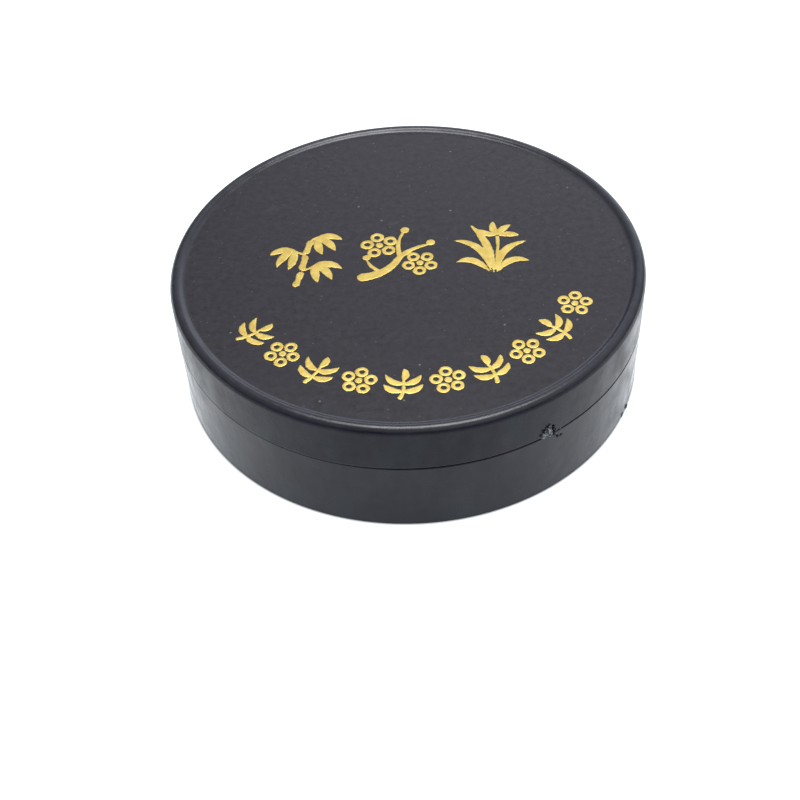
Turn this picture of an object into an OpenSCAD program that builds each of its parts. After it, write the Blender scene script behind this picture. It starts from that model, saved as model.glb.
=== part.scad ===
// A round moulded box with a cake of solid calligraphy ink in it.
// The lid drops over a thin collar on the tray, and its skirt meets the tray's shoulder at the seam.
// The box stands on Z = 0 round the Z axis, and its gold print reads upright from the -Y side.

/* [Box] */
// Outside diameter of the box at the seam
box_d = 75; // [68:1:90]
// Height of the closed box over its rim
box_h = 20.3; // [19.8:0.1:24]
// Height of the seam above the table
seam_z = 12.4; // [11.4:0.2:13]
// How much each half narrows away from the seam outside, on the radius
draft = 0.05; // [0:0.05:0.3]

/* [Lid] */
// Thickness of the flat top panel
panel_t = 1.3; // [1:0.1:1.5]
// Thickness of the skirt at its lower edge
skirt_t = 1; // [0.8:0.05:1.1]
// Radius of the round bead that runs along the top edge
bead_r = 1.1; // [0.9:0.05:1.3]
// Radius of the hollow where the bead turns into the panel
bead_blend = 1.2; // [0.6:0.1:1.6]
// Height of the bead above the panel
bead_rise = 0.45; // [0.2:0.05:0.6]

/* [Tray] */
// Height of the collar above the seam
collar_h = 4.6; // [3.6:0.2:5]
// Thickness of the collar
collar_t = 0.9; // [0.8:0.05:1.2]
// Gap between the collar and the skirt, on the radius
collar_gap = 0.15; // [0.12:0.01:0.2]
// Thickness of the floor
floor_t = 1.3; // [1:0.1:1.6]
// Height of the foot ring that the floor stands on
foot_h = 0.5; // [0.3:0.1:0.8]

/* [Ink] */
// Thickness of the ink cake at its edge
cake_t = 8; // [6:0.5:9]
// Depth of the shallow dish in its top
cake_dish = 0.6; // [0.3:0.1:1.2]

/* [Gold print] */
// Thickness of the stamped foil
foil_t = 0.05; // [0.02:0.01:0.1]
// Distance between the three large plants
plant_pitch = 14.6; // [13:0.2:15]
// Radius of the arc that the small marks follow
arc_r = 28; // [26:0.5:29]
// Angle between one small mark and the next
arc_step = 13.3; // [12.5:0.1:14]

/* [Hidden] */
$fn = 96;
MARKS = 10;

seam_r = box_d / 2;
end_r = seam_r - draft;            // radius at the foot and at the top, where each half is narrowest
core_draft = 0.2;                  // the inside faces lean more, so that each half comes off its core
edge_c = 0.15;                     // chamfer on both edges of the seam
seat_gap = 0.04;                   // the skirt stops this far above the shoulder
skirt_foot_z = seam_z + seat_gap;
skirt_in_r = seam_r - skirt_t;
lead_in = 0.2;                     // chamfer inside the skirt's foot, which guides it over the collar
collar_r = skirt_in_r - collar_gap;
collar_top_r = collar_r - core_draft;
collar_top_z = seam_z + collar_h;
tray_in_r = collar_top_r - collar_t;
floor_z = foot_h + floor_t;        // top of the tray's floor
foot_round = 0.25;
foot_w = 2.2;                      // flat width of the foot ring
panel_z = box_h - bead_rise;       // top of the lid's panel
under_z = panel_z - panel_t;       // underside of the panel
corner_r = 0.7;                    // inside corners of both mouldings

cake_gap = 0.25;                   // the cake has dried away from the wall
cake_r = tray_in_r - core_draft - cake_gap;
cake_z = floor_z + cake_t;         // top of the cake at its edge
cake_round = 0.8;
cake_lip_w = 3;                    // flat margin between the cake's edge and its dish

grip_z = 1.4;                      // a low friction ring starts this far above the seam
grip_h = 0.8;
grip_rise = 0.07;
pad_r = 2;                         // ejector pads under the panel
pad_rise = 0.1;
pad_count = 4;
pad_circle_r = 24;

row_x = -1.2;                      // the print sits a little left of the middle
row_y = 1.7;
arc_y = 0.3;                       // middle of the arc of small marks
arc_turn = 1.6;                    // the arc starts a little late and ends past the middle
lid_gate_a = -60.2;                // where each half's moulding gate was torn off
tray_gate_a = -28.4;

// ---------- curves ----------

// Points on an arc about c, from angle a to angle b
function arc(c, r, a, b, steps = 8) =
    [for (i = [0:steps]) let (t = a + (b - a) * i / steps) c + r * [cos(t), sin(t)]];

// The points of a curve that carries on where another one ends
function without_first(points) = [for (i = [1:len(points) - 1]) points[i]];

// A point on the quadratic curve with the three control points p, or a number that runs the same way
function bezier(p, t) = (1 - t) * (1 - t) * p[0] + 2 * t * (1 - t) * p[1] + t * t * p[2];

// The curve's direction, turned a quarter turn to the left
function bezier_left(p, t) =
    let (d = (1 - t) * (p[1] - p[0]) + t * (p[2] - p[1])) [-d[1], d[0]] / norm(d);

// ---------- brush work, in the plane ----------

// One brush stroke along the control points p, whose width runs through w in the same way
module stroke(p, w, steps = 10) {
    ts = [for (i = [0:steps]) i / steps];
    left = [for (t = ts) bezier(p, t) + bezier_left(p, t) * bezier(w, t) / 2];
    right = [for (t = ts) bezier(p, 1 - t) - bezier_left(p, 1 - t) * bezier(w, 1 - t) / 2];
    polygon(concat(left, right));
}

// A bud, or the eye of a blossom
module dot(at, r) translate(at) circle(r);

// Five petals, each drawn as a ring, about an eye
module blossom(at, r, turn = 0) {
    petal_r = 0.36 * r;
    translate(at) for (i = [0:4]) rotate(turn + 90 + 72 * i) translate([r - petal_r, 0]) difference() {
        circle(petal_r);
        circle(0.42 * petal_r);
    }
    dot(at, 0.2 * r);
}

// A leaf or blade from its root to its tip, up to half as wide as its middle width w
module leaf(p, w) stroke(p, [0.3, w, 0.1]);

module bamboo() {
    // the cane, in lengths with a gap at each joint
    for (p = [
        [[-1.9, -6.3], [-1.3, -4.6], [-1, -2.8]],
        [[-0.9, -2.4], [-0.5, -0.7], [-0.2, 1.1]],
        [[-0.1, 1.5], [0.2, 3.1], [0.7, 4.8]]
    ]) stroke(p, [1.2, 0.8, 1.2], 4);
    // a twig from each joint
    stroke([[-0.8, -2.5], [0.3, -2.3], [1.4, -1.2]], [0.4, 0.4, 0.4], 4);
    stroke([[-0.3, 1.4], [-1.2, 1.7], [-2.2, 2.8]], [0.4, 0.4, 0.4], 4);
    stroke([[0.6, 4.6], [1.1, 5.4], [2, 5.6]], [0.4, 0.4, 0.4], 4);
    // three leaves hang from each twig
    for (p = [
        [[1.2, -1.3], [3.6, -0.7], [5.5, -2.7]],
        [[1.3, -1.3], [3, -2.3], [3.8, -5.2]],
        [[1.3, -1.3], [0.9, -3.3], [1.6, -5.6]],
        [[-2, 2.6], [-4.3, 3.4], [-5.8, 1.9]],
        [[-2.1, 2.6], [-4, 1.7], [-4.8, -1.3]],
        [[-2, 2.6], [-1.9, 0.3], [-3, -2]],
        [[1.8, 5.5], [3.9, 6.2], [5.7, 4.6]],
        [[1.8, 5.5], [3.7, 4.4], [4.6, 1.8]],
        [[1.8, 5.5], [1.6, 3.2], [2.5, 1.2]]
    ]) leaf(p, 2.7);
}

module plum() {
    // the bough, its side shoot and two twigs
    stroke([[-5.9, -5.2], [-2.2, -4.9], [-0.3, -1.6]], [1.9, 1.4, 1.2]);
    stroke([[-0.5, -1.9], [1.3, 1], [4.7, 1.7]], [1.2, 0.9, 0.5]);
    stroke([[0.2, -0.6], [-0.4, 2.4], [1.1, 5.2]], [0.9, 0.7, 0.4]);
    stroke([[-3, -4.3], [-4.7, -2.9], [-5.1, -1.1]], [0.8, 0.6, 0.4]);
    blossom([-2.9, 2.4], 3.1, 8);
    blossom([3.2, -2.7], 2.9, 30);
    dot([5.3, 2.2], 0.7);
    dot([1.4, 5.8], 0.75);
    dot([-5.1, -0.5], 0.65);
}

module orchid() {
    // long blades from one root
    for (p = [
        [[-0.5, -5.9], [-0.6, 1.6], [-5.7, 2.2]],
        [[-0.1, -6.1], [0.4, 1.6], [-2.7, 6.1]],
        [[0.5, -6], [1.2, 0.2], [6.1, 0.9]],
        [[0.8, -5.8], [2.8, -2.3], [5.8, -4]],
        [[-0.8, -5.8], [-2.9, -1.6], [-5.6, -3.2]]
    ]) leaf(p, 2.5);
    // the flower on its stalk
    stroke([[0.3, -5.2], [1.3, -1], [1.5, 2.4]], [0.6, 0.5, 0.6]);
    for (a = [-4, 46, 96, 150]) translate([1.5, 2.8]) rotate(a)
        leaf([[0.3, 0], [1.9, 0.6], [3.5, -0.1]], 2.3);
}

module small_blossom() blossom([0, 0], 2.75);

module small_sprig() {
    stroke([[-0.4, -2.8], [0.3, -1], [0, 1.1]], [0.7, 0.5, 0.4], 5);
    leaf([[0, 0.8], [0.6, 1.9], [0, 3]], 2.1);
    for (side = [-1, 1]) {
        leaf([[0, 0], [1.8 * side, -0.1], [2.6 * side, 1.8]], 2);
        leaf([[0, -1.5], [1.9 * side, -1.7], [2.8 * side, -0.2]], 2);
    }
}

// ---------- the box ----------

module base_tray() {
    foot_in_r = end_r - foot_round - foot_w;
    profile = concat(
        [[0, foot_h], [foot_in_r - foot_h / 2, foot_h], [foot_in_r, 0]],
        arc([end_r - foot_round, foot_round], foot_round, -90, 0),
        [[seam_r, seam_z - edge_c], [seam_r - edge_c, seam_z], [collar_r, seam_z]],
        [for (p = [[0, 0], [0.3, 1], [0.7, 1], [1, 0]])
            [collar_r + p[1] * grip_rise, seam_z + grip_z + p[0] * grip_h]],
        arc([collar_top_r - collar_t / 2, collar_top_z - collar_t / 2], collar_t / 2, 0, 180),
        arc([tray_in_r - core_draft - corner_r, floor_z + corner_r], corner_r, 0, -90, 6),
        [[0, floor_z]]
    );
    color("#2b2b30") difference() {
        union() {
            rotate_extrude() polygon(profile);
            tray_gate();
        }
        gate_tear();
    }
}

module ink_cake() {
    dish_r = cake_r - cake_lip_w;
    bowl_r = (dish_r * dish_r + cake_dish * cake_dish) / (2 * cake_dish);
    bowl_a = asin(dish_r / bowl_r);
    color("#17171a") rotate_extrude() polygon(concat(
        [[0, floor_z]],
        arc([cake_r - corner_r, floor_z + corner_r], corner_r, -90, 0, 6),
        arc([cake_r - cake_round, cake_z - cake_round], cake_round, 0, 90, 6),
        arc([0, cake_z - cake_dish + bowl_r], bowl_r, bowl_a - 90, -90, 10)
    ));
}

module lid_cover() {
    skirt_top_in_r = skirt_in_r - core_draft;
    crest_r = end_r - bead_r;
    slope_a = acos(1 - bead_rise / (bead_r + bead_blend)); // where the bead is steepest on its inner side
    panel_r = crest_r - (bead_r + bead_blend) * sin(slope_a);
    profile = concat(
        [[0, under_z]],
        arc([skirt_top_in_r - corner_r, under_z - corner_r], corner_r, 90, 0, 6),
        [[skirt_in_r, skirt_foot_z + lead_in], [skirt_in_r + lead_in, skirt_foot_z]],
        [[seam_r - edge_c, skirt_foot_z], [seam_r, skirt_foot_z + edge_c]],
        arc([crest_r, box_h - bead_r], bead_r, 0, 90 + slope_a, 14),
        without_first(arc([panel_r, panel_z + bead_blend], bead_blend, slope_a - 90, -90, 6)),
        [[0, panel_z]]
    );
    color("#2b2b30") difference() {
        union() {
            rotate_extrude() polygon(profile);
            lid_gate();
            for (i = [1:pad_count]) rotate(i * 360 / pad_count + 45)
                translate([pad_circle_r, 0, under_z - pad_rise]) cylinder(r = pad_r, h = pad_rise + 0.2);
        }
        gate_tear();
    }
}

// The flake that stayed on the skirt where its gate was torn off, 2 mm high and pointing up
module lid_gate() {
    rotate(lid_gate_a) translate([seam_r - 0.5, 0, skirt_foot_z]) rotate([90, 0, 90])
        linear_extrude(0.85) polygon([[-2.1, 0], [-0.2, 0], [-0.2, 2.1], [-0.9, 1.8], [-2.1, 0.5]]);
}

// The hole torn beside the flake, across the seam
module gate_tear() {
    rotate(lid_gate_a) translate([seam_r - 0.45, 0, seam_z]) rotate([90, 0, 90])
        linear_extrude(1)
            polygon([[-0.2, -0.5], [1, -1.2], [1.6, -0.9], [0.7, 0.3], [0.3, 1.6], [-0.2, 2]]);
}

// The low scar of the tray's gate on its lower edge, 2.4 mm wide
module tray_gate() {
    rotate(tray_gate_a) translate([end_r - 0.6, -1.2, 0.1]) cube([0.75, 2.4, 0.6]);
}

// ---------- the gold print ----------

function mark_name(i) = str("gold_mark_", i);

// Stamped foil on the panel, cut to the outline given
module foil(x, y, turn = 0) {
    color("#dcc068") translate([x, y, panel_z]) rotate(turn) linear_extrude(foil_t) children();
}

module gold_bamboo() foil(row_x - plant_pitch, row_y) bamboo();
module gold_plum() foil(row_x, row_y) plum();
module gold_orchid() foil(row_x + plant_pitch, row_y) orchid();

// The small marks stand on an arc along the front edge, a blossom and a sprig in turn
module gold_mark(i) {
    a = arc_turn - 90 + (i - (MARKS + 1) / 2) * arc_step;
    foil(arc_r * cos(a), arc_y + arc_r * sin(a), a + 90) {
        if (i % 2 == 1) small_sprig();
        else small_blossom();
    }
}

base_tray();
ink_cake();
lid_cover();
gold_bamboo();
gold_plum();
gold_orchid();
for (i = [1:MARKS]) gold_mark(i);
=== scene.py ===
"""A solid ink box as it looks: two black mouldings, the cake of ink inside, and gold foil on the lid."""

import math

import bpy
import numpy as np
from mathutils import Matrix, Vector, noise


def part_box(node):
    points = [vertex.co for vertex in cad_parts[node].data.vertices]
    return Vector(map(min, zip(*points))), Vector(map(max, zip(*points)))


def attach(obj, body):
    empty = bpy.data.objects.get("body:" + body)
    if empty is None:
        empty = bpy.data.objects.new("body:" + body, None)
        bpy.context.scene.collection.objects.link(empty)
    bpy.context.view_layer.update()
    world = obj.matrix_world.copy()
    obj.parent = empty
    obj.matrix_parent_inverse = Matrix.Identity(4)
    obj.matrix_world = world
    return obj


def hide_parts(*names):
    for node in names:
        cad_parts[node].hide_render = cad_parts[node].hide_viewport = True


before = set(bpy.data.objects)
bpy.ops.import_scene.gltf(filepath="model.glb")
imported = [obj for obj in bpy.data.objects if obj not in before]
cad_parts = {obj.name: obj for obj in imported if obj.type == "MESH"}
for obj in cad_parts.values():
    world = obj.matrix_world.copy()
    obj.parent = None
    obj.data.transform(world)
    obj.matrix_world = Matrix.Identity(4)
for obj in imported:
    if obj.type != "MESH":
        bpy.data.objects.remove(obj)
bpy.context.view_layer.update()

MM = 0.001

# ---------- measures, in millimetres ----------


def box_mm(node):
    """Lowest and highest corner of a CAD node."""
    low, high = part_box(node)
    return Vector(low) / MM, Vector(high) / MM


lid_low, lid_high = box_mm("lid_cover")
tray_low, tray_high = box_mm("base_tray")
cake_low, cake_high = box_mm("ink_cake")

SEAM_R = lid_high.x  # outside radius at the seam
BOX_H = lid_high.z
PANEL_Z = box_mm("gold_plum")[0].z  # top of the lid's panel
SKIRT_FOOT_Z = lid_low.z
COLLAR_TOP_Z = tray_high.z
CAKE_R = cake_high.x
CAKE_Z = cake_high.z
FLOOR_Z = cake_low.z

WALL_DRAFT = 0.05
END_R = SEAM_R - WALL_DRAFT  # each half narrows a little from the seam to its end
CORE_DRAFT = 0.2  # the inside faces lean more
SEAT_GAP = 0.04  # between the lid's foot and the tray's shoulder
SEAM_Z = SKIRT_FOOT_Z - SEAT_GAP
LID_EDGE = 0.32  # rounding of the lid's edge at the seam
LID_SQUARED = 0.85  # share of that rounding that is missing on the left
TRAY_EDGE = 0.16
TRAY_SQUARED = 0.75  # the same for the tray's edge
PANEL_T = 1.3
PANEL_SINK = 0.05
UNDER_Z = PANEL_Z - PANEL_T
SKIRT_T = 1.0
SKIRT_IN_R = SEAM_R - SKIRT_T
SKIRT_CHAMFER = 0.2  # on the inner edge of the skirt's foot
LID_GAP = 0.15  # between the skirt and the collar
COLLAR_R = SKIRT_IN_R - LID_GAP
COLLAR_T = 0.9
COLLAR_FILLET = 0.12
TRAY_IN_R = COLLAR_R - CORE_DRAFT - COLLAR_T
BEAD_R = 1.1
BEAD_BLEND = 1.2  # radius of the hollow where the bead turns into the panel
CREST_R = END_R - BEAD_R
BEAD_SLOPE = math.acos(1 - (BOX_H - PANEL_Z) / (BEAD_R + BEAD_BLEND))
PANEL_R = CREST_R - (BEAD_R + BEAD_BLEND) * math.sin(BEAD_SLOPE)
RIM_TURN = 65  # degrees from the bead's crest to where its polish gives way to the wall's
RIM_LOW_Z = BOX_H - BEAD_R * (1 - math.cos(math.radians(RIM_TURN)))
CORNER_R = 0.7
FOOT_H = 0.5
FOOT_W = 2.2
FOOT_ROUND = 0.25
BOSS_R = 9.6  # low boss in the middle of the underside
BOSS_DROP = 0.15
LID_GATE_A = -60.2  # degrees round from +X
TRAY_GATE_A = -28.4
PAD_CIRCLE_R = 24.0  # ejector pads under the panel
PAD_R = 2.0
PAD_DROP = 0.1
PAD_ANGLES = (-135, -45, 45, 135)

FOIL_T = 0.045
FOIL_SUNK = 0.02  # how far the foil reaches into the panel
FOIL_EDGE_SHARE = 0.35  # the foil's thickness at its edge, as a share of the full one
FOIL_EDGE_W = 0.16
ROW_X, ROW_Y = -1.2, 1.7  # middle of the row of plants
PLANT_PITCH = 14.6
PLANT_REACH, PLANT_GRID = 7.2, 0.1  # half the width of the drawing, and the spacing of its grid
ARC_R = 28.0
ARC_Y = 0.3
ARC_TURN = 1.6
ARC_STEP = 13.3
MARKS = 10
MARK_REACH, MARK_GRID = 3.6, 0.07

# ---------- camera ----------

CAMERA_LENS = 56.97
CAMERA_DISTANCE = 5.727 * SEAM_R * MM
CAMERA_AZIMUTH, CAMERA_ELEVATION, CAMERA_ROLL = -2.5, 43.62, -2.47
AIM_YAW, AIM_PITCH = -0.58, -2.22  # where the camera looks, off the box's foot, in degrees


def make_camera():
    elevation = math.radians(CAMERA_ELEVATION)
    place = Vector((0, -math.cos(elevation), math.sin(elevation))) * CAMERA_DISTANCE
    ahead = -place.normalized()
    side = Vector((1, 0, 0))
    ahead += math.tan(math.radians(AIM_YAW)) * side + math.tan(math.radians(AIM_PITCH)) * side.cross(ahead)
    ahead.normalize()
    side = (side - ahead * side.dot(ahead)).normalized()
    over = side.cross(ahead)
    turn = Matrix.Rotation(math.radians(CAMERA_AZIMUTH), 4, "Z")
    level = Matrix((side, over, -ahead)).transposed().to_4x4()
    roll = Matrix.Rotation(math.radians(CAMERA_ROLL), 4, "Z")
    data = bpy.data.cameras.new("camera")
    data.lens = CAMERA_LENS
    data.sensor_width = 36
    data.clip_start, data.clip_end = 0.01, 20
    camera = bpy.data.objects.new("camera", data)
    camera.matrix_world = turn @ Matrix.Translation(place) @ level @ roll
    bpy.context.collection.objects.link(camera)
    bpy.context.scene.camera = camera


# ---------- shapes ----------


def add_mesh(name, points_mm, faces):
    """A new smooth-shaded object from points in millimetres."""
    mesh = bpy.data.meshes.new(name)
    mesh.from_pydata((np.asarray(points_mm) * MM).tolist(), [], faces)
    mesh.validate()
    mesh.polygons.foreach_set("use_smooth", [True] * len(mesh.polygons))
    mesh.update()
    piece = bpy.data.objects.new(name, mesh)
    bpy.context.collection.objects.link(piece)
    return piece


def arc(centre, radius, start, end, steps):
    """Points on an arc of a profile, between two angles in degrees."""
    turns = [math.radians(start + (end - start) * i / steps) for i in range(steps + 1)]
    return [(centre[0] + radius * math.cos(t), centre[1] + radius * math.sin(t)) for t in turns]


def span(start, end, steps):
    """Points between two profile points, without them, with one close to each end so that it shades flat."""
    close = 0.04
    shares = [close, *[i / steps for i in range(1, steps)], 1 - close]
    return [tuple(a + (b - a) * s for a, b in zip(start, end)) for s in shares]


def even_angles(count):
    """Angles round the box in degrees."""
    return np.round(np.arange(count) * 360.0 / count - 180, 4)


def refine(angles, centres, half, step):
    """The same angles, but closer together up to half a stretch either side of each centre."""
    kept = set(angles)
    for centre in centres:
        kept = {a for a in kept if abs(a - centre) > half}
        kept |= set(np.round(np.arange(centre - half, centre + half, step), 4))
    return np.array(sorted(kept))


def lathe(name, profile, angles, form=None):
    """A closed mesh turned from a profile that starts and ends on the axis, bent by form(r, angle, z)."""
    ring = np.array(profile[1:-1])
    a = np.broadcast_to(np.radians(angles), (len(ring), len(angles)))
    r = np.broadcast_to(ring[:, :1], a.shape)
    z = np.broadcast_to(ring[:, 1:], a.shape)
    if form:
        r, z = form(r, a, z)
    points = np.stack([r * np.cos(a), r * np.sin(a), z], axis=-1).reshape(-1, 3)
    rows, columns = a.shape
    first, last = len(points), len(points) + 1
    first_z = z[0].mean() + profile[0][1] - ring[0][1]
    last_z = z[-1].mean() + profile[-1][1] - ring[-1][1]
    points = np.vstack([points, [(0, 0, first_z), (0, 0, last_z)]])
    faces = []
    for j in range(columns):
        k = (j + 1) % columns
        faces.append((first, k, j))
        faces.append((last, (rows - 1) * columns + j, (rows - 1) * columns + k))
        for i in range(rows - 1):
            low, high = i * columns, (i + 1) * columns
            faces.append((low + j, low + k, high + k, high + j))
    return add_mesh(name, points, faces)


def smooth_step(value, low, high):
    t = np.clip((value - low) / (high - low), 0, 1)
    return t * t * (3 - 2 * t)


def jagged(x, seed, step):
    """A ragged line between 0 and 1: random heights every step, joined by straight runs."""
    count = 400
    heights = np.random.default_rng(seed).random(count)
    return np.interp(np.asarray(x) / step + count / 2, np.arange(count), heights)


def groove(along, up, start, end, half, seed):
    """How deep a ragged torn groove between two points on the wall is, from 0 to 1."""
    run = (end[0] - start[0], end[1] - start[1])
    share = ((along - start[0]) * run[0] + (up - start[1]) * run[1]) / (run[0] ** 2 + run[1] ** 2)
    share = np.clip(share, 0, 1)
    away = np.hypot(along - start[0] - share * run[0], up - start[1] - share * run[1])
    ragged = 0.22 * (jagged(along, seed, 0.21) - 0.5) + 0.22 * (jagged(up, seed + 1, 0.24) - 0.5)
    return smooth_step(half - away + ragged, -0.06, 0.14)


def torn(along, up, tears):
    """How deep several tears are together, from 0 to 1."""
    return np.max([groove(along, up, *tear) for tear in tears], axis=0)


def from_gate(a, gate_angle):
    """Distance along the wall from one of the gates, in millimetres."""
    return (np.degrees(a) - gate_angle) * math.radians(1) * SEAM_R


# ---------- the lid ----------

# Each tear: its two ends, along the seam from the gate and above it, then half its width and its seed.
LID_TEAR_DEPTH = 0.6
LID_TEARS = (
    ((0.02, 1.5), (0.05, -0.2), 0.26, 3),
    ((0.05, 0.0), (0.8, -0.1), 0.24, 5),
)


def panel_height(x, y):
    """Height of the lid's panel: it sank a little in the middle as it cooled, and isn't quite even."""
    r = np.hypot(x, y)
    sink = PANEL_SINK * np.clip(1 - (r / PANEL_R) ** 2, 0, 1)
    ripple = 0.010 * np.sin(0.21 * x + 0.11 * y + 1.0) + 0.008 * np.sin(0.13 * x - 0.26 * y + 2.1)
    roll = 0.02 * smooth_step(PANEL_R - r, 0, 1.6)
    return PANEL_Z - sink + ripple * smooth_step(PANEL_R - r, 0, 4) + roll


def tight_seam(a):
    """1 on the left, where both edges are nearly square and the seam hardly shows, and 0 in front."""
    return smooth_step(np.cos(a + math.radians(170)), 0.15, 0.55)


def lid_form(r, a, z):
    """The lid as it left the mould, with its sunken panel, ejector pads, seam edge and torn gate."""
    x, y = r * np.cos(a), r * np.sin(a)
    on_panel = (z > PANEL_Z - 0.001) & (r < PANEL_R - 0.01)
    z = np.where(on_panel, panel_height(x, y), z)
    for pad_angle in PAD_ANGLES:
        turn = math.radians(pad_angle)
        away = np.hypot(x - PAD_CIRCLE_R * math.cos(turn), y - PAD_CIRCLE_R * math.sin(turn))
        on_pad = (z > UNDER_Z - 0.001) & (z < UNDER_Z + 0.1) & (away < PAD_R)
        z = np.where(on_pad, UNDER_Z - PAD_DROP * smooth_step(PAD_R - away, 0, 0.12), z)
    along, up = from_gate(a, LID_GATE_A), z - SEAM_Z
    rounding = (r > SEAM_R - LID_EDGE) & (z < SKIRT_FOOT_Z + LID_EDGE)
    r = np.where(rounding, r + (SEAM_R - r) * LID_SQUARED * tight_seam(a), r)
    hole = torn(along, up, LID_TEARS)
    outward = np.clip((r - SKIRT_IN_R - SKIRT_CHAMFER) / (SKIRT_T - SKIRT_CHAMFER), 0, 1)  # 0 inside
    r = r - np.where(z < SEAM_Z + 3, LID_TEAR_DEPTH * hole * outward, 0)
    return r, z


def make_lid():
    wall_low, wall_high = (SEAM_R, SKIRT_FOOT_Z + LID_EDGE), (END_R, BOX_H - BEAD_R)
    gate_top = (SEAM_R - 0.02, SEAM_Z + 2.6)
    skirt_top_r = SKIRT_IN_R - CORE_DRAFT
    slope = math.degrees(BEAD_SLOPE)
    inner_corner = (skirt_top_r - CORNER_R, UNDER_Z - CORNER_R)
    profile = [
        # the panel's underside, with its rings closer together where the pads stand
        (0, UNDER_Z),
        *[(2.0 + 1.6 * i, UNDER_Z) for i in range(12)],
        *[(PAD_CIRCLE_R + 0.12 * i, UNDER_Z) for i in range(-20, 21)],
        *[(28.0 + 1.6 * i, UNDER_Z) for i in range(5)],
        # down inside the skirt, round its foot and up the wall
        *arc(inner_corner, CORNER_R, 90, 0, 8),
        *span((skirt_top_r, UNDER_Z - CORNER_R), (SKIRT_IN_R, SKIRT_FOOT_Z + 0.25), 5),
        (SKIRT_IN_R, SKIRT_FOOT_Z + 0.25),
        (SKIRT_IN_R + 0.06, SKIRT_FOOT_Z + 0.08),
        (SKIRT_IN_R + SKIRT_CHAMFER, SKIRT_FOOT_Z),
        *span((SKIRT_IN_R + SKIRT_CHAMFER, SKIRT_FOOT_Z), (SEAM_R - LID_EDGE, SKIRT_FOOT_Z), 3),
        *arc((SEAM_R - LID_EDGE, SKIRT_FOOT_Z + LID_EDGE), LID_EDGE, -90, 0, 8),
        *span(wall_low, gate_top, 20),
        gate_top,
        *span(gate_top, wall_high, 4),
        # the bead, the hollow inside it and the panel
        *arc((CREST_R, BOX_H - BEAD_R), BEAD_R, 0, 90 + slope, 28),
        *arc((PANEL_R, PANEL_Z + BEAD_BLEND), BEAD_BLEND, slope - 90, -90, 8)[1:],
        *[(PANEL_R - 0.2 * i, PANEL_Z) for i in range(1, 10)],
        *[(PANEL_R - 1.8 - (PANEL_R - 2.8) * i / 30, PANEL_Z) for i in range(1, 31)],
        (0, PANEL_Z),
    ]
    angles = refine(even_angles(288), (LID_GATE_A,), 4.0, 0.15)
    angles = refine(angles, PAD_ANGLES, 5.4, 0.3)
    lid = lathe("lid_cover_shell", profile, angles, lid_form)
    looks = ("lid_wall", "panel", "inside", "rim")
    for look in looks:
        lid.data.materials.append(MATERIALS[look])
    for face in lid.data.polygons:
        x, y, z = face.center / MM
        r = math.hypot(x, y)
        if z > PANEL_Z - 0.1 and r < PANEL_R + 0.1:
            face.material_index = looks.index("panel")
        elif z > RIM_LOW_Z:
            face.material_index = looks.index("rim")
        elif r < SKIRT_IN_R + 0.1 and z < PANEL_Z - 0.5:
            face.material_index = looks.index("inside")
    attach(lid, "lid")
    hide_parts("lid_cover")


# ---------- the tray ----------

TRAY_TEAR_DEPTH = 0.45
TRAY_TEARS = (
    ((0.0, 0.1), (0.95, -1.15), 0.2, 8),
    ((1.5, -1.25), (1.65, -1.3), 0.15, 11),
)
SCAR_H = 0.75
SCAR_LUMPS = ((0.95, 0.45, 1.0), (-0.95, 0.5, 0.7))  # place along the foot, half width, how far it stands out


def tray_form(r, a, z):
    """The tray's outside: its seam edge, the tears below the lid's gate, and the scar of its own gate."""
    hole = torn(from_gate(a, LID_GATE_A), z - SEAM_Z, TRAY_TEARS)
    rounding = (r > SEAM_R - TRAY_EDGE - 0.001) & (z > SEAM_Z - TRAY_EDGE)
    r = np.where(rounding, r + (SEAM_R - r) * TRAY_SQUARED * tight_seam(a), r)
    fillet_r = COLLAR_R + COLLAR_FILLET
    outward = np.clip((r - fillet_r) / (SEAM_R - fillet_r), 0, 1)  # 0 at the collar
    r = r - np.where(z > SEAM_Z - 2, TRAY_TEAR_DEPTH * hole * outward, 0)
    along = from_gate(a, TRAY_GATE_A)
    ragged = 0.2 * jagged(along, 12, 0.3)
    lumps = []
    for place, half, share in SCAR_LUMPS:
        lumps.append(share * smooth_step(half - abs(along - place) + ragged, 0, 0.3))
    lump = np.max(lumps, axis=0) * smooth_step(z, 0.05, 0.2) * smooth_step(SCAR_H - z + ragged, 0.1, 0.3)
    low_wall = (r > END_R - 1.0) & (z < 3)
    r = r + np.where(low_wall, (0.14 + 0.10 * jagged(along * 1.7 + z, 15, 0.3)) * lump, 0)
    return r, z


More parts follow.
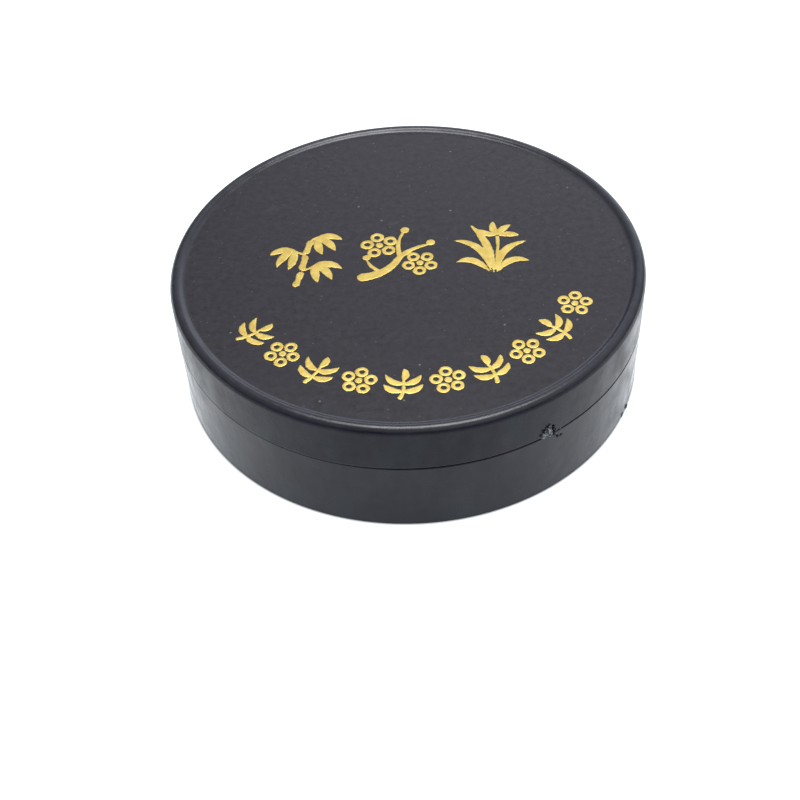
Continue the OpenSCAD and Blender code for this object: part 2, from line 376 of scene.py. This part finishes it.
def make_tray():
    foot_in_r = END_R - FOOT_ROUND - FOOT_W
    lip = COLLAR_T / 2
    lip_centre = (COLLAR_R - CORE_DRAFT - lip, COLLAR_TOP_Z - lip)
    shoulder_out = (SEAM_R - TRAY_EDGE, SEAM_Z)
    shoulder_in = (COLLAR_R + COLLAR_FILLET, SEAM_Z)
    scar_top = (END_R + 0.005, 1.6)
    chip_foot = (SEAM_R - 0.01, SEAM_Z - 1.7)
    floor_corner = (TRAY_IN_R - CORE_DRAFT - CORNER_R, FLOOR_Z + CORNER_R)
    grip_z = SEAM_Z + 1.8
    profile = [
        # the underside with its boss, and the foot ring
        (0, FOOT_H - BOSS_DROP),
        (BOSS_R, FOOT_H - BOSS_DROP),
        (BOSS_R + 0.25, FOOT_H - 0.8 * BOSS_DROP),
        (BOSS_R + 0.5, FOOT_H - 0.2 * BOSS_DROP),
        (BOSS_R + 0.75, FOOT_H),
        *[(11.0 + 2.4 * i, FOOT_H) for i in range(10)],
        *arc((foot_in_r - 0.5, FOOT_H - 0.25), 0.25, 90, 20, 4),
        *arc((foot_in_r + 0.1, 0.15), 0.15, 190, 270, 4),
        *span((foot_in_r + 0.1, 0), (END_R - FOOT_ROUND, 0), 3),
        *arc((END_R - FOOT_ROUND, FOOT_ROUND), FOOT_ROUND, -90, 0, 10),
        # up the wall, with its rings closer together at the scar and at the tears
        *span((END_R, FOOT_ROUND), scar_top, 14),
        scar_top,
        *span(scar_top, chip_foot, 6),
        chip_foot,
        *span(chip_foot, (SEAM_R, SEAM_Z - TRAY_EDGE), 14),
        *arc((SEAM_R - TRAY_EDGE, SEAM_Z - TRAY_EDGE), TRAY_EDGE, 0, 90, 6),
        *span(shoulder_out, shoulder_in, 3),
        *arc((COLLAR_R + COLLAR_FILLET, SEAM_Z + COLLAR_FILLET), COLLAR_FILLET, 270, 180, 4),
        # the friction ring on the collar, the collar's lip and the well
        (COLLAR_R - 0.05, grip_z - 0.45),
        (COLLAR_R - 0.02, grip_z - 0.25),
        (COLLAR_R + 0.01, grip_z - 0.08),
        (COLLAR_R + 0.01, grip_z + 0.08),
        (COLLAR_R - 0.03, grip_z + 0.25),
        (COLLAR_R - 0.08, grip_z + 0.45),
        *span((COLLAR_R - 0.09, grip_z + 0.5), (COLLAR_R - CORE_DRAFT, COLLAR_TOP_Z - lip), 3),
        *arc(lip_centre, lip, 0, 180, 14),
        *span((TRAY_IN_R, COLLAR_TOP_Z - lip), (TRAY_IN_R - CORE_DRAFT, FLOOR_Z + CORNER_R), 8),
        *arc(floor_corner, CORNER_R, 0, -90, 6),
        (floor_corner[0] - 1, FLOOR_Z),
        (20, FLOOR_Z),
        (0, FLOOR_Z),
    ]
    angles = refine(even_angles(288), (LID_GATE_A, TRAY_GATE_A), 4.0, 0.15)
    tray = lathe("base_tray_shell", profile, angles, tray_form)
    looks = ("tray_wall", "inside")
    for look in looks:
        tray.data.materials.append(MATERIALS[look])
    for face in tray.data.polygons:
        x, y, z = face.center / MM
        r = math.hypot(x, y)
        if z > SEAM_Z + 0.02 or (z > FLOOR_Z - 0.1 and r < TRAY_IN_R + 0.1):
            face.material_index = looks.index("inside")
    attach(tray, "base")
    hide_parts("base_tray")


# ---------- the ink ----------

CAKE_ROUND = 0.9
CAKE_DISH = 0.6
CAKE_LIP_W = 3.0
CAKE_GAP = 0.02  # between the cake and the tray's floor
CAKE_GRID = 0.4  # spacing of the rings of its top
BUBBLES = 46


def cake_form(r, a, z):
    """The cake's cast top: a shallow dish, slow swirls from the pour, burst bubbles and an uneven edge."""
    x, y = r * np.cos(a), r * np.sin(a)
    top = z > CAKE_Z - 0.05
    dish_r = CAKE_R - CAKE_LIP_W
    dish = CAKE_DISH * np.clip(1 - (r / dish_r) ** 2, 0, 1)
    wave = 0.9 * r + 2.2 * np.sin(a + 0.5) + 0.4 * np.sin(3 * a)
    swirl = 0.035 * np.sin(wave) * smooth_step(dish_r - r, 0, 6)
    slope = 0.06 * np.sin(0.16 * x + 0.5) + 0.05 * np.sin(0.19 * y - 0.14 * x)
    pits = np.zeros_like(r)
    source = np.random.default_rng(21)
    for _ in range(BUBBLES):
        reach = (CAKE_R - 1.5) * math.sqrt(source.random())
        turn = source.random() * math.tau
        size = source.uniform(0.35, 1.0)
        away = np.hypot(x - reach * math.cos(turn), y - reach * math.sin(turn)) / size
        pits += 0.16 * size * (np.exp(-((away - 1.15) ** 2) * 9) * 0.35 - smooth_step(1.0 - away, 0, 0.6))
    z = z + np.where(top, swirl + slope + pits - dish, 0)
    edge = smooth_step(r, CAKE_R - 1.0, CAKE_R)
    r = r - edge * (0.12 * np.sin(5 * a + 0.6) ** 2 + 0.10 * np.sin(17 * a + 2 * np.sin(3 * a)) ** 2)
    return r, z


def make_cake():
    foot = CORNER_R + 0.05
    top_r = CAKE_R - CAKE_ROUND
    profile = [
        (0, FLOOR_Z + CAKE_GAP),
        (CAKE_R - foot, FLOOR_Z + CAKE_GAP),
        *arc((CAKE_R - foot, FLOOR_Z + foot), foot, -80, 0, 5),
        *span((CAKE_R, FLOOR_Z + foot), (CAKE_R, CAKE_Z - CAKE_ROUND), 4),
        *arc((top_r, CAKE_Z - CAKE_ROUND), CAKE_ROUND, 0, 88, 9),
        *[(top_r - CAKE_GRID * i, CAKE_Z) for i in range(1, int(top_r / CAKE_GRID))],
        (0, CAKE_Z),
    ]
    cake = lathe("ink_cake_block", profile, even_angles(320), cake_form)
    cake.data.materials.append(MATERIALS["ink"])
    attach(cake, "base")
    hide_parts("ink_cake")


# ---------- the torn gate ----------

FUSE_GRID = 0.055


def make_gate_stub():
    """The flake of torn plastic beside the hole in the skirt: a few lumps fused into one."""
    # each lump: along the seam, out of the wall, above the seam, then its three half sizes
    lumps = [
        (-1.80, -0.02, 0.50, 0.42, 0.34, 0.36),
        (-1.40, 0.08, 1.00, 0.46, 0.40, 0.48),
        (-0.92, 0.12, 0.55, 0.58, 0.46, 0.46),
        (-0.80, 0.08, 1.45, 0.44, 0.40, 0.56),
        (-0.66, 0.02, 1.98, 0.30, 0.26, 0.26),
        (0.55, -0.06, 0.48, 0.24, 0.20, 0.24),
        (1.35, -0.12, 0.24, 0.22, 0.18, 0.16),
    ]
    points, faces = [], []
    for number, (along, out, up, *half) in enumerate(lumps):
        bpy.ops.mesh.primitive_ico_sphere_add(subdivisions=4, radius=1)
        ball = bpy.context.object
        for v in ball.data.vertices:
            shift = noise.noise(v.co * 1.6 + Vector((number * 7.3, 0, 0))) * 0.5
            v.co *= 1 + shift + 0.16 * noise.noise(v.co * 5 + Vector((0, number * 3.1, 0)))
        start = len(points)
        for v in ball.data.vertices:
            points.append((v.co.x * half[0] + along, v.co.y * half[1] - out, v.co.z * half[2] + up))
        faces += [[start + i for i in f.vertices] for f in ball.data.polygons]
        bpy.data.objects.remove(ball)
    turn = Matrix.Rotation(math.radians(LID_GATE_A + 90), 4, "Z")
    placed = [turn @ Vector((x, y - SEAM_R, z + SEAM_Z)) for x, y, z in points]
    rough = add_mesh("gate_rough", placed, faces)
    remesh = rough.modifiers.new("fuse", "REMESH")
    remesh.mode = "VOXEL"
    remesh.voxel_size = FUSE_GRID * MM
    fused = rough.evaluated_get(bpy.context.evaluated_depsgraph_get())
    stub = bpy.data.objects.new("lid_gate_stub", bpy.data.meshes.new_from_object(fused))
    bpy.context.collection.objects.link(stub)
    bpy.data.objects.remove(rough)
    stub.data.materials.clear()
    stub.data.materials.append(MATERIALS["torn"])
    stub.data.polygons.foreach_set("use_smooth", [False] * len(stub.data.polygons))
    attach(stub, "lid")


# ---------- the gold ----------


def curve_points(p, w):
    """Centres and half widths of the brush along a quadratic curve with the control points p and widths w."""
    count = 36
    t = np.linspace(0, 1, count)[:, None]
    blend = np.hstack([(1 - t) ** 2, 2 * t * (1 - t), t * t])
    return blend @ np.array(p, float), blend @ np.array(w, float) / 2


class Brush:
    """Collects brush strokes, rings and dots, and gives how deep a point lies inside their union."""

    def __init__(self):
        self.discs, self.rings = [], []

    def stroke(self, p, w):
        centres, halves = curve_points(p, w)
        self.discs += [(x, y, h) for (x, y), h in zip(centres, halves)]

    def leaf(self, p, w):
        self.stroke(p, (0.3, w, 0.1))

    def dot(self, at, r):
        self.discs.append((*at, r))

    def blossom(self, at, r, turn=0):
        petal_r = 0.36 * r
        reach = r - petal_r
        for i in range(5):
            a = math.radians(turn + 90 + 72 * i)
            x, y = at[0] + reach * math.cos(a), at[1] + reach * math.sin(a)
            self.rings.append((x, y, petal_r, 0.42 * petal_r))
        self.dot(at, 0.2 * r)

    def depth(self, x, y):
        inside = np.full(x.shape, -9.0)
        for cx, cy, r in self.discs:
            inside = np.maximum(inside, r - np.hypot(x - cx, y - cy))
        for cx, cy, r, hole in self.rings:
            away = np.hypot(x - cx, y - cy)
            inside = np.maximum(inside, np.minimum(r - away, away - hole))
        return inside


def bamboo(b):
    for p in (
        [(-1.8, -5.7), (-1.4, -4.7), (-1.1, -3.4)],
        [(-0.8, -1.8), (-0.5, -0.7), (-0.3, 0.6)],
        [(0, 2.1), (0.2, 3.1), (0.6, 4.3)],
    ):
        b.stroke(p, (1.2, 0.8, 1.2))
    for p in (
        [(-0.8, -2.5), (0.3, -2.3), (1.4, -1.2)],
        [(-0.3, 1.4), (-1.2, 1.7), (-2.2, 2.8)],
        [(0.6, 4.6), (1.1, 5.4), (2, 5.6)],
    ):
        b.stroke(p, (0.4, 0.4, 0.4))
    for p in (
        [(1.2, -1.3), (3.6, -0.7), (5.5, -2.7)],
        [(1.3, -1.3), (3, -2.3), (3.8, -5.2)],
        [(1.3, -1.3), (0.9, -3.3), (1.6, -5.6)],
        [(-2, 2.6), (-4.3, 3.4), (-5.8, 1.9)],
        [(-2.1, 2.6), (-4, 1.7), (-4.8, -1.3)],
        [(-2, 2.6), (-1.9, 0.3), (-3, -2)],
        [(1.8, 5.5), (3.9, 6.2), (5.7, 4.6)],
        [(1.8, 5.5), (3.7, 4.4), (4.6, 1.8)],
        [(1.8, 5.5), (1.6, 3.2), (2.5, 1.2)],
    ):
        b.leaf(p, 2.7)


def plum(b):
    b.stroke([(-5.9, -5.2), (-2.2, -4.9), (-0.3, -1.6)], (1.9, 1.4, 1.2))
    b.stroke([(-0.5, -1.9), (1.3, 1), (4.7, 1.7)], (1.2, 0.9, 0.5))
    b.stroke([(0.2, -0.6), (-0.4, 2.4), (1.1, 5.2)], (0.9, 0.7, 0.4))
    b.stroke([(-3, -4.3), (-4.7, -2.9), (-5.1, -1.1)], (0.8, 0.6, 0.4))
    b.blossom((-2.9, 2.4), 3.1, 8)
    b.blossom((3.2, -2.7), 2.9, 30)
    b.dot((5.3, 2.2), 0.7)
    b.dot((1.4, 5.8), 0.75)
    b.dot((-5.1, -0.5), 0.65)


def orchid(b):
    for p in (
        [(-0.5, -5.9), (-0.6, 1.6), (-5.7, 2.2)],
        [(-0.1, -6.1), (0.4, 1.6), (-2.7, 6.1)],
        [(0.5, -6), (1.2, 0.2), (6.1, 0.9)],
        [(0.8, -5.8), (2.8, -2.3), (5.8, -4)],
        [(-0.8, -5.8), (-2.9, -1.6), (-5.6, -3.2)],
    ):
        b.leaf(p, 2.5)
    b.stroke([(0.3, -5.2), (1.3, -1), (1.5, 2.4)], (0.6, 0.5, 0.6))
    for degrees in (-4, 46, 96, 150):
        c, s = math.cos(math.radians(degrees)), math.sin(math.radians(degrees))
        petal = [(0.3, 0), (1.9, 0.6), (3.5, -0.1)]
        b.leaf([(1.5 + x * c - y * s, 2.8 + x * s + y * c) for x, y in petal], 2.3)


def small_blossom(b):
    b.blossom((0, 0), 2.75)


def small_sprig(b):
    b.stroke([(-0.4, -2.8), (0.3, -1), (0, 1.1)], (0.7, 0.5, 0.4))
    b.leaf([(0, 0.8), (0.6, 1.9), (0, 3)], 2.1)
    for side in (-1, 1):
        b.leaf([(0, 0), (1.8 * side, -0.1), (2.6 * side, 1.8)], 2)
        b.leaf([(0, -1.5), (1.9 * side, -1.7), (2.8 * side, -0.2)], 2)


def foil_edge(x, y, seed):
    """How far the foil's edge strays from the die's, in millimetres."""
    wander = np.zeros_like(x)
    source = np.random.default_rng(seed)
    for size, amount in ((2.3, 0.016), (0.9, 0.012), (0.4, 0.008)):
        for _ in range(3):
            turn, phase = source.random(2) * math.tau
            wander += amount * np.sin((x * math.cos(turn) + y * math.sin(turn)) * math.tau / size + phase)
    return wander


def contour_mesh(depth, xs, ys):
    """Points and faces of the region where depth is over 0 on a grid, cut along its outline."""
    points, index, faces = [], {}, []

    def corner(i, j):
        key = (i, j)
        if key not in index:
            index[key] = len(points)
            points.append((xs[i], ys[j]))
        return index[key]

    def crossing(i, j, k, m):
        key = (min((i, j), (k, m)), max((i, j), (k, m)))
        if key not in index:
            a, b = depth[key[0]], depth[key[1]]
            s = min(max(a / (a - b), 0.02), 0.98)
            (i, j), (k, m) = key
            index[key] = len(points)
            points.append((xs[i] + (xs[k] - xs[i]) * s, ys[j] + (ys[m] - ys[j]) * s))
        return index[key]

    for i in range(len(xs) - 1):
        for j in range(len(ys) - 1):
            cell = [(i, j), (i + 1, j), (i + 1, j + 1), (i, j + 1)]
            held = [depth[c] > 0 for c in cell]
            if not any(held):
                continue
            if held in ([True, False, True, False], [False, True, False, True]):
                # two opposite corners are inside, and each gets its own triangle
                for n in range(4):
                    if held[n]:
                        before, here, after = cell[n - 1], cell[n], cell[(n + 1) % 4]
                        faces.append((crossing(*here, *before), corner(*here), crossing(*here, *after)))
                continue
            face = []
            for n in range(4):
                here, after = cell[n], cell[(n + 1) % 4]
                if held[n]:
                    face.append(corner(*here))
                if held[n] != held[(n + 1) % 4]:
                    face.append(crossing(*here, *after))
            faces.append(tuple(face))
    return np.array(points), faces


def make_foil(node, draw, x, y, turn, reach, step, seed):
    """A thin closed patch of foil on the panel, in the shape that draw paints."""
    brush = Brush()
    draw(brush)
    xs = np.arange(-reach, reach + step, step)
    gx, gy = np.meshgrid(xs, xs, indexing="ij")
    depth = brush.depth(gx, gy) + foil_edge(gx, gy, seed)
    flat, faces = contour_mesh(depth, xs, xs)
    inside = brush.depth(flat[:, 0], flat[:, 1]) + foil_edge(flat[:, 0], flat[:, 1], seed)
    c, s = math.cos(math.radians(turn)), math.sin(math.radians(turn))
    px = x + flat[:, 0] * c - flat[:, 1] * s
    py = y + flat[:, 0] * s + flat[:, 1] * c
    ground = panel_height(px, py)
    rise = smooth_step(inside, 0, FOIL_EDGE_W)
    top = ground + FOIL_T * (FOIL_EDGE_SHARE + (1 - FOIL_EDGE_SHARE) * rise)
    count = len(flat)
    points = np.vstack([np.column_stack([px, py, top]), np.column_stack([px, py, ground - FOIL_SUNK])])
    edges = {}
    for face in faces:
        for a, b in zip(face, face[1:] + face[:1]):
            edges[(a, b)] = True
    walls = [(b, a, a + count, b + count) for a, b in edges if (b, a) not in edges]
    under = [tuple(i + count for i in reversed(face)) for face in faces]
    foil = add_mesh(node + "_foil", points, faces + walls + under)
    foil.data.materials.append(MATERIALS["gold"])
    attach(foil, "lid")
    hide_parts(node)


def make_gold():
    for i, plant in enumerate((bamboo, plum, orchid), 1):
        x = ROW_X + (i - 2) * PLANT_PITCH
        make_foil(f"gold_{plant.__name__}", plant, x, ROW_Y, 0.0, PLANT_REACH, PLANT_GRID, i)
    for i in range(1, MARKS + 1):
        a = ARC_TURN - 90 + (i - (MARKS + 1) / 2) * ARC_STEP
        x, y = ARC_R * math.cos(math.radians(a)), ARC_Y + ARC_R * math.sin(math.radians(a))
        draw = small_sprig if i % 2 else small_blossom
        make_foil(f"gold_mark_{i}", draw, x, y, a + 90, MARK_REACH, MARK_GRID, 10 + i)


# ---------- materials ----------


class Nodes:
    """Short forms for building one material's node tree."""

    def __init__(self, name):
        self.material = bpy.data.materials.new(name)
        self.material.use_nodes = True
        self.tree = self.material.node_tree
        self.shader = self.tree.nodes["Principled BSDF"]
        self.place = self.add("TexCoord").outputs["Object"]

    def add(self, kind, **sockets):
        made = self.tree.nodes.new("ShaderNode" + kind)
        for name, value in sockets.items():
            self.feed(made.inputs[name.replace("_", " ")], value)
        return made

    def feed(self, socket, value):
        if isinstance(value, bpy.types.NodeSocket):
            self.tree.links.new(value, socket)
        else:
            socket.default_value = value

    def noise(self, size_mm, detail=3.0, roughness=0.55, stretch=(1, 1, 1)):
        """Noise whose lumps are about size_mm across, longer where stretch is under 1."""
        vector = self.add("Mapping", Vector=self.place, Scale=stretch).outputs["Vector"]
        scale = 1 / (size_mm * MM)
        made = self.add("TexNoise", Vector=vector, Scale=scale, Detail=detail, Roughness=roughness)
        return made.outputs["Fac"]

    def remap(self, value, low, high, to_low=0.0, to_high=1.0):
        made = self.add("MapRange", Value=value, From_Min=low, From_Max=high, To_Min=to_low, To_Max=to_high)
        return made.outputs["Result"]

    def math(self, operation, a, b):
        made = self.tree.nodes.new("ShaderNodeMath")
        made.operation = operation
        self.feed(made.inputs[0], a)
        self.feed(made.inputs[1], b)
        return made.outputs[0]

    def mix(self, share, a, b):
        made = self.tree.nodes.new("ShaderNodeMix")
        made.data_type = "RGBA"
        self.feed(made.inputs["Factor"], share)
        self.feed(made.inputs["A"], a)
        self.feed(made.inputs["B"], b)
        return made.outputs["Result"]

    def specks(self, spacing_mm, radius_mm, share):
        """1 on small dots about spacing_mm apart, of which only a share are kept."""
        cells = self.add("TexVoronoi", Vector=self.place, Scale=1 / (spacing_mm * MM))
        near = self.remap(cells.outputs["Distance"], radius_mm / spacing_mm, 0.6 * radius_mm / spacing_mm)
        pick = self.add("SeparateColor", Color=cells.outputs["Color"]).outputs["Red"]
        return self.math("MULTIPLY", near, self.math("LESS_THAN", pick, share))

    def bump(self, *layers):
        """Chains bumps, each a height and its depth in millimetres."""
        normal = None
        for height, depth_mm in layers:
            made = self.add("Bump", Height=height, Distance=depth_mm * MM)
            if normal:
                self.feed(made.inputs["Normal"], normal)
            normal = made.outputs["Normal"]
        self.feed(self.shader.inputs["Normal"], normal)

    def finish(self, **sockets):
        for name, value in sockets.items():
            self.feed(self.shader.inputs[name.replace("_", " ")], value)
        return self.material


def rgb(red, green, blue):
    return (red, green, blue, 1.0)


PANEL_SHEEN = 0.3  # strength of the panel's mirror reflection, lower than a clear polish gives


def panel_material():
    n = Nodes("lid_panel")
    cloud = n.remap(n.noise(13, 3), 0.35, 0.65)
    mottle = n.remap(n.noise(1.1, 4, 0.7), 0.3, 0.7)
    dust = n.math("MAXIMUM", n.math("MULTIPLY", n.specks(1.3, 0.14, 0.5), 0.45), n.specks(4.0, 0.2, 0.5))
    scratch = n.remap(n.noise(1.2, 2, 0.4, (0.3, 1.0, 1.0)), 0.71, 0.75)
    colour = n.mix(mottle, rgb(0.0, 0.0, 0.001), rgb(0.016, 0.014, 0.021))
    colour = n.mix(n.math("MULTIPLY", cloud, 0.4), colour, rgb(0.009, 0.007, 0.012))
    colour = n.mix(n.math("MULTIPLY", dust, 0.32), colour, rgb(0.30, 0.30, 0.32))
    colour = n.mix(n.math("MULTIPLY", scratch, 0.05), colour, rgb(0.12, 0.12, 0.13))
    roughness = n.remap(n.noise(3.5, 4), 0.3, 0.7, 0.36, 0.46)
    n.bump((n.noise(0.25, 2), 0.010), (n.noise(1.3, 2), 0.012))
    return n.finish(Base_Color=colour, Roughness=roughness, IOR=1.5, Specular_IOR_Level=PANEL_SHEEN)


def wall_material(name, smoothest, roughest, shine, paleness, wave_mm):
    """Satin plastic, hazed in places by a pale film, on a face that waves by wave_mm."""
    n = Nodes(name)
    mottle = n.remap(n.noise(1.6, 4, 0.65), 0.3, 0.7)
    smear = n.remap(n.noise(5, 3, 0.6, (1, 1, 0.4)), 0.4, 0.7)
    dust = n.specks(4.5, 0.12, 0.2)
    colour = n.mix(mottle, rgb(0.001, 0.001, 0.005), rgb(0.006, 0.006, 0.014))
    tint = n.remap(n.noise(7, 2), 0.42, 0.58)
    film = n.mix(tint, rgb(0.012, 0.021, 0.024), rgb(0.022, 0.018, 0.026))
    colour = n.mix(n.math("MULTIPLY", smear, paleness), colour, film)
    colour = n.mix(n.math("MULTIPLY", dust, 0.4), colour, rgb(0.30, 0.31, 0.32))
    roughness = n.remap(n.noise(4, 4), 0.3, 0.7, smoothest, roughest)
    n.bump((n.noise(0.3, 2), 0.004), (n.noise(2.4, 3, 0.5, (1, 1, 0.5)), wave_mm))
    return n.finish(Base_Color=colour, Roughness=roughness, IOR=1.5, Specular_IOR_Level=shine)


def inside_material():
    n = Nodes("moulded_inside")
    colour = n.mix(n.noise(7, 3), rgb(0.004, 0.004, 0.007), rgb(0.012, 0.012, 0.017))
    roughness = n.remap(n.noise(5, 3), 0.3, 0.7, 0.28, 0.42)
    n.bump((n.noise(0.5, 3), 0.010))
    return n.finish(Base_Color=colour, Roughness=roughness, IOR=1.5)


def torn_material():
    n = Nodes("torn_plastic")
    colour = n.mix(n.remap(n.noise(0.5, 3), 0.5, 0.66), rgb(0.010, 0.013, 0.015), rgb(0.24, 0.27, 0.29))
    n.bump((n.noise(0.12, 3), 0.03))
    return n.finish(Base_Color=colour, Roughness=0.5, IOR=1.5)


def ink_material():
    n = Nodes("dried_ink")
    cloud = n.noise(6, 4)
    colour = n.mix(cloud, rgb(0.006, 0.006, 0.007), rgb(0.016, 0.016, 0.018))
    roughness = n.remap(n.noise(2.4, 5), 0.3, 0.7, 0.34, 0.62)
    n.bump((n.noise(0.35, 4), 0.03), (n.noise(3.0, 2), 0.05))
    return n.finish(Base_Color=colour, Roughness=roughness, IOR=1.45)


def gold_material():
    n = Nodes("gold_foil")
    tone = n.remap(n.noise(1.4, 3), 0.3, 0.7)
    colour = n.mix(tone, rgb(0.47, 0.34, 0.08), rgb(0.60, 0.46, 0.14))
    colour = n.mix(n.specks(0.9, 0.07, 0.25), colour, rgb(0.25, 0.18, 0.06))
    roughness = n.remap(n.noise(0.6, 3), 0.3, 0.7, 0.38, 0.54)
    n.bump((n.noise(0.16, 2), 0.005), (n.noise(0.8, 2), 0.004))
    return n.finish(Base_Color=colour, Metallic=1.0, Roughness=roughness)


GLOW = 0.97  # of the table
# the glow's fall from full to nothing just outside the foot is a painted thin contact shadow
GLOW_FROM, GLOW_FULL = END_R - 0.1, END_R + 0.3  # where the glow starts and is full, from the box's middle


def floor_material():
    """A lit white table that glows, so that no shadow shows on it; the glow fades out just outside the box's
    foot, painting a thin contact shadow there, and is off under the box.
    """
    n = Nodes("pale_floor")
    away = n.tree.nodes.new("ShaderNodeVectorMath")
    away.operation = "LENGTH"
    n.feed(away.inputs[0], n.place)
    glow = n.remap(away.outputs["Value"], GLOW_FROM * MM, GLOW_FULL * MM, 0.0, GLOW)
    return n.finish(Base_Color=rgb(0.45, 0.45, 0.45), Roughness=0.9, Specular_IOR_Level=0.1,
                    Emission_Color=rgb(0.93, 0.99, 1.03), Emission_Strength=glow)


MATERIALS = {
    "panel": panel_material(),
    "rim": wall_material("lid_rim", 0.22, 0.34, shine=0.45, paleness=0.0, wave_mm=0.05),
    "lid_wall": wall_material("lid_wall", 0.16, 0.4, shine=0.16, paleness=0.55, wave_mm=0.05),
    "tray_wall": wall_material("tray_wall", 0.1, 0.33, shine=0.22, paleness=0.5, wave_mm=0.06),
    "inside": inside_material(),
    "torn": torn_material(),
    "ink": ink_material(),
    "gold": gold_material(),
    "floor": floor_material(),
}

# ---------- floor and lights ----------

FLOOR_HALF = 4000


def make_floor():
    corners = [(-1, -1, 0), (1, -1, 0), (1, 1, 0), (-1, 1, 0)]
    floor = add_mesh("floor", np.array(corners) * FLOOR_HALF, [(0, 1, 2, 3)])
    floor.data.materials.append(MATERIALS["floor"])


def make_light(name, place, size, radiance, colour=(1, 1, 1)):
    """A soft panel of light that faces the box; place and size in metres."""
    middle = Vector((0, 0, 0.01))
    data = bpy.data.lights.new(name, "AREA")
    data.shape = "RECTANGLE"
    data.size, data.size_y = size
    data.energy = radiance * math.pi * size[0] * size[1]
    data.color = colour
    light = bpy.data.objects.new(name, data)
    light.location = place
    light.rotation_euler = (middle - Vector(place)).to_track_quat("-Z", "Y").to_euler()
    bpy.context.collection.objects.link(light)


def make_surroundings():
    """A white tent round the table: brightest above and on the right, and darkest where the camera stands."""
    world = bpy.data.worlds.new("studio")
    world.use_nodes = True
    tree = world.node_tree

    def remap(value, low, high, to_low, to_high):
        made = tree.nodes.new("ShaderNodeMapRange")
        tree.links.new(value, made.inputs["Value"])
        for name, number in (("From Min", low), ("From Max", high), ("To Min", to_low), ("To Max", to_high)):
            made.inputs[name].default_value = number
        return made.outputs["Result"]

    def combine(operation, a, b):
        made = tree.nodes.new("ShaderNodeMath")
        made.operation = operation
        tree.links.new(a, made.inputs[0])
        tree.links.new(b, made.inputs[1])
        return made.outputs[0]

    place = tree.nodes.new("ShaderNodeTexCoord").outputs["Generated"]
    apart = tree.nodes.new("ShaderNodeSeparateXYZ")
    tree.links.new(place, apart.inputs[0])
    wall = remap(apart.outputs["Z"], 0.15, 0.65, 0.3, 1.0)
    low = remap(apart.outputs["Z"], 0.25, 0.65, 1.0, 0.0)
    front = remap(apart.outputs["Y"], -0.35, -0.85, 0.0, 0.85)
    shade = remap(combine("MULTIPLY", low, front), 0.0, 1.0, 1.0, 0.0)
    side = remap(apart.outputs["X"], -0.3, 0.3, 0.78, 1.25)
    background = tree.nodes["Background"]
    background.inputs["Color"].default_value = rgb(0.96, 0.98, 1.04)
    tree.links.new(combine("MULTIPLY", combine("MULTIPLY", wall, shade), side), background.inputs["Strength"])
    bpy.context.scene.world = world


def make_lights():
    make_surroundings()
    make_light("top_softbox", (0.03, 0.08, 0.6), (0.42, 0.28), 4.8)
    make_light("top_lamp", (0.03, 0.08, 0.58), (0.24, 0.25), 6.2)
    make_light("back_panel", (0.28, 0.9, 0.3), (0.85, 0.5), 1.15, (0.92, 0.97, 1.12))
    settings = bpy.context.scene.view_settings
    settings.view_transform = "Standard"
    settings.look = "None"


make_camera()
make_floor()
make_lights()
make_tray()
make_cake()
make_lid()
make_gate_stub()
make_gold()
